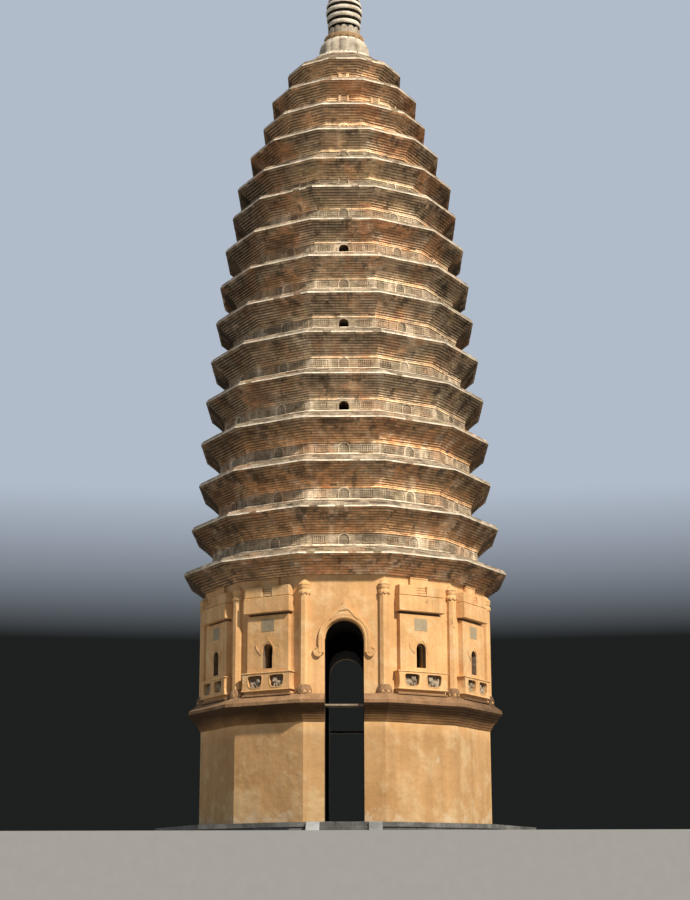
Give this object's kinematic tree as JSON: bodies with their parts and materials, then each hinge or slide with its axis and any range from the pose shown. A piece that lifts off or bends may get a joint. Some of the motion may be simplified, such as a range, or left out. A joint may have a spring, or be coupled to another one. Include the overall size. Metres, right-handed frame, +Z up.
{
  "type": "pagoda",
  "caption": "Polygonal hollow brick pagoda on a low platform, with close-set corbelled eaves, tall arched doorways, niche shrines, corner columns and a ringed stone finial.",
  "frame": {"origin": "on the ground at the middle of the platform's underside, on the tower's upright axis", "axes": "+Z up, the front doorway and the steps face -Y, +X to the right seen from the front"},
  "size_m": [14.2116, 16.0116, 36.78],
  "materials": {
    "slate": "worn dark paving stone",
    "ochre_plaster": "ochre lime plaster over brick, weathered",
    "weathered_brick": "bare fired brick with pale mortar and soot",
    "pale_stone": "pale carved stone, stained",
    "lintel_stone": "pale stone slab"
  },
  "bodies": {
    "root": {"base_platform": "slate", "entrance_steps": "slate", "lower_wall_southwest": "ochre_plaster", "lower_wall_southeast": "ochre_plaster", "lower_wall_northeast": "ochre_plaster", "lower_wall_northwest": "ochre_plaster", "upper_wall_southwest": "ochre_plaster", "upper_wall_southeast": "ochre_plaster", "upper_wall_northeast": "ochre_plaster", "upper_wall_northwest": "ochre_plaster", "door_arch_south": "ochre_plaster", "door_arch_east": "ochre_plaster", "door_arch_north": "ochre_plaster", "door_arch_west": "ochre_plaster", "door_lintel_south": "lintel_stone", "door_lintel_east": "lintel_stone", "door_lintel_north": "lintel_stone", "door_lintel_west": "lintel_stone", "niche_shrine_1": "ochre_plaster", "niche_shrine_2": "ochre_plaster", "niche_shrine_3": "ochre_plaster", "niche_shrine_4": "ochre_plaster", "niche_shrine_5": "ochre_plaster", "niche_shrine_6": "ochre_plaster", "niche_shrine_7": "ochre_plaster", "niche_shrine_8": "ochre_plaster", "eave_tier_01": "weathered_brick", "eave_tier_02": "weathered_brick", "eave_tier_03": "weathered_brick", "eave_tier_04": "weathered_brick", "eave_tier_05": "weathered_brick", "eave_tier_06": "weathered_brick", "eave_tier_07": "weathered_brick", "eave_tier_08": "weathered_brick", "eave_tier_09": "weathered_brick", "eave_tier_10": "weathered_brick", "eave_tier_11": "weathered_brick", "eave_tier_12": "weathered_brick", "eave_tier_13": "weathered_brick", "eave_tier_14": "weathered_brick", "eave_tier_15": "weathered_brick", "finial_lotus_bell": "pale_stone", "finial_cup": "pale_stone", "finial_rings": "pale_stone", "finial_jewel": "pale_stone"}
  },
  "joints": []
}
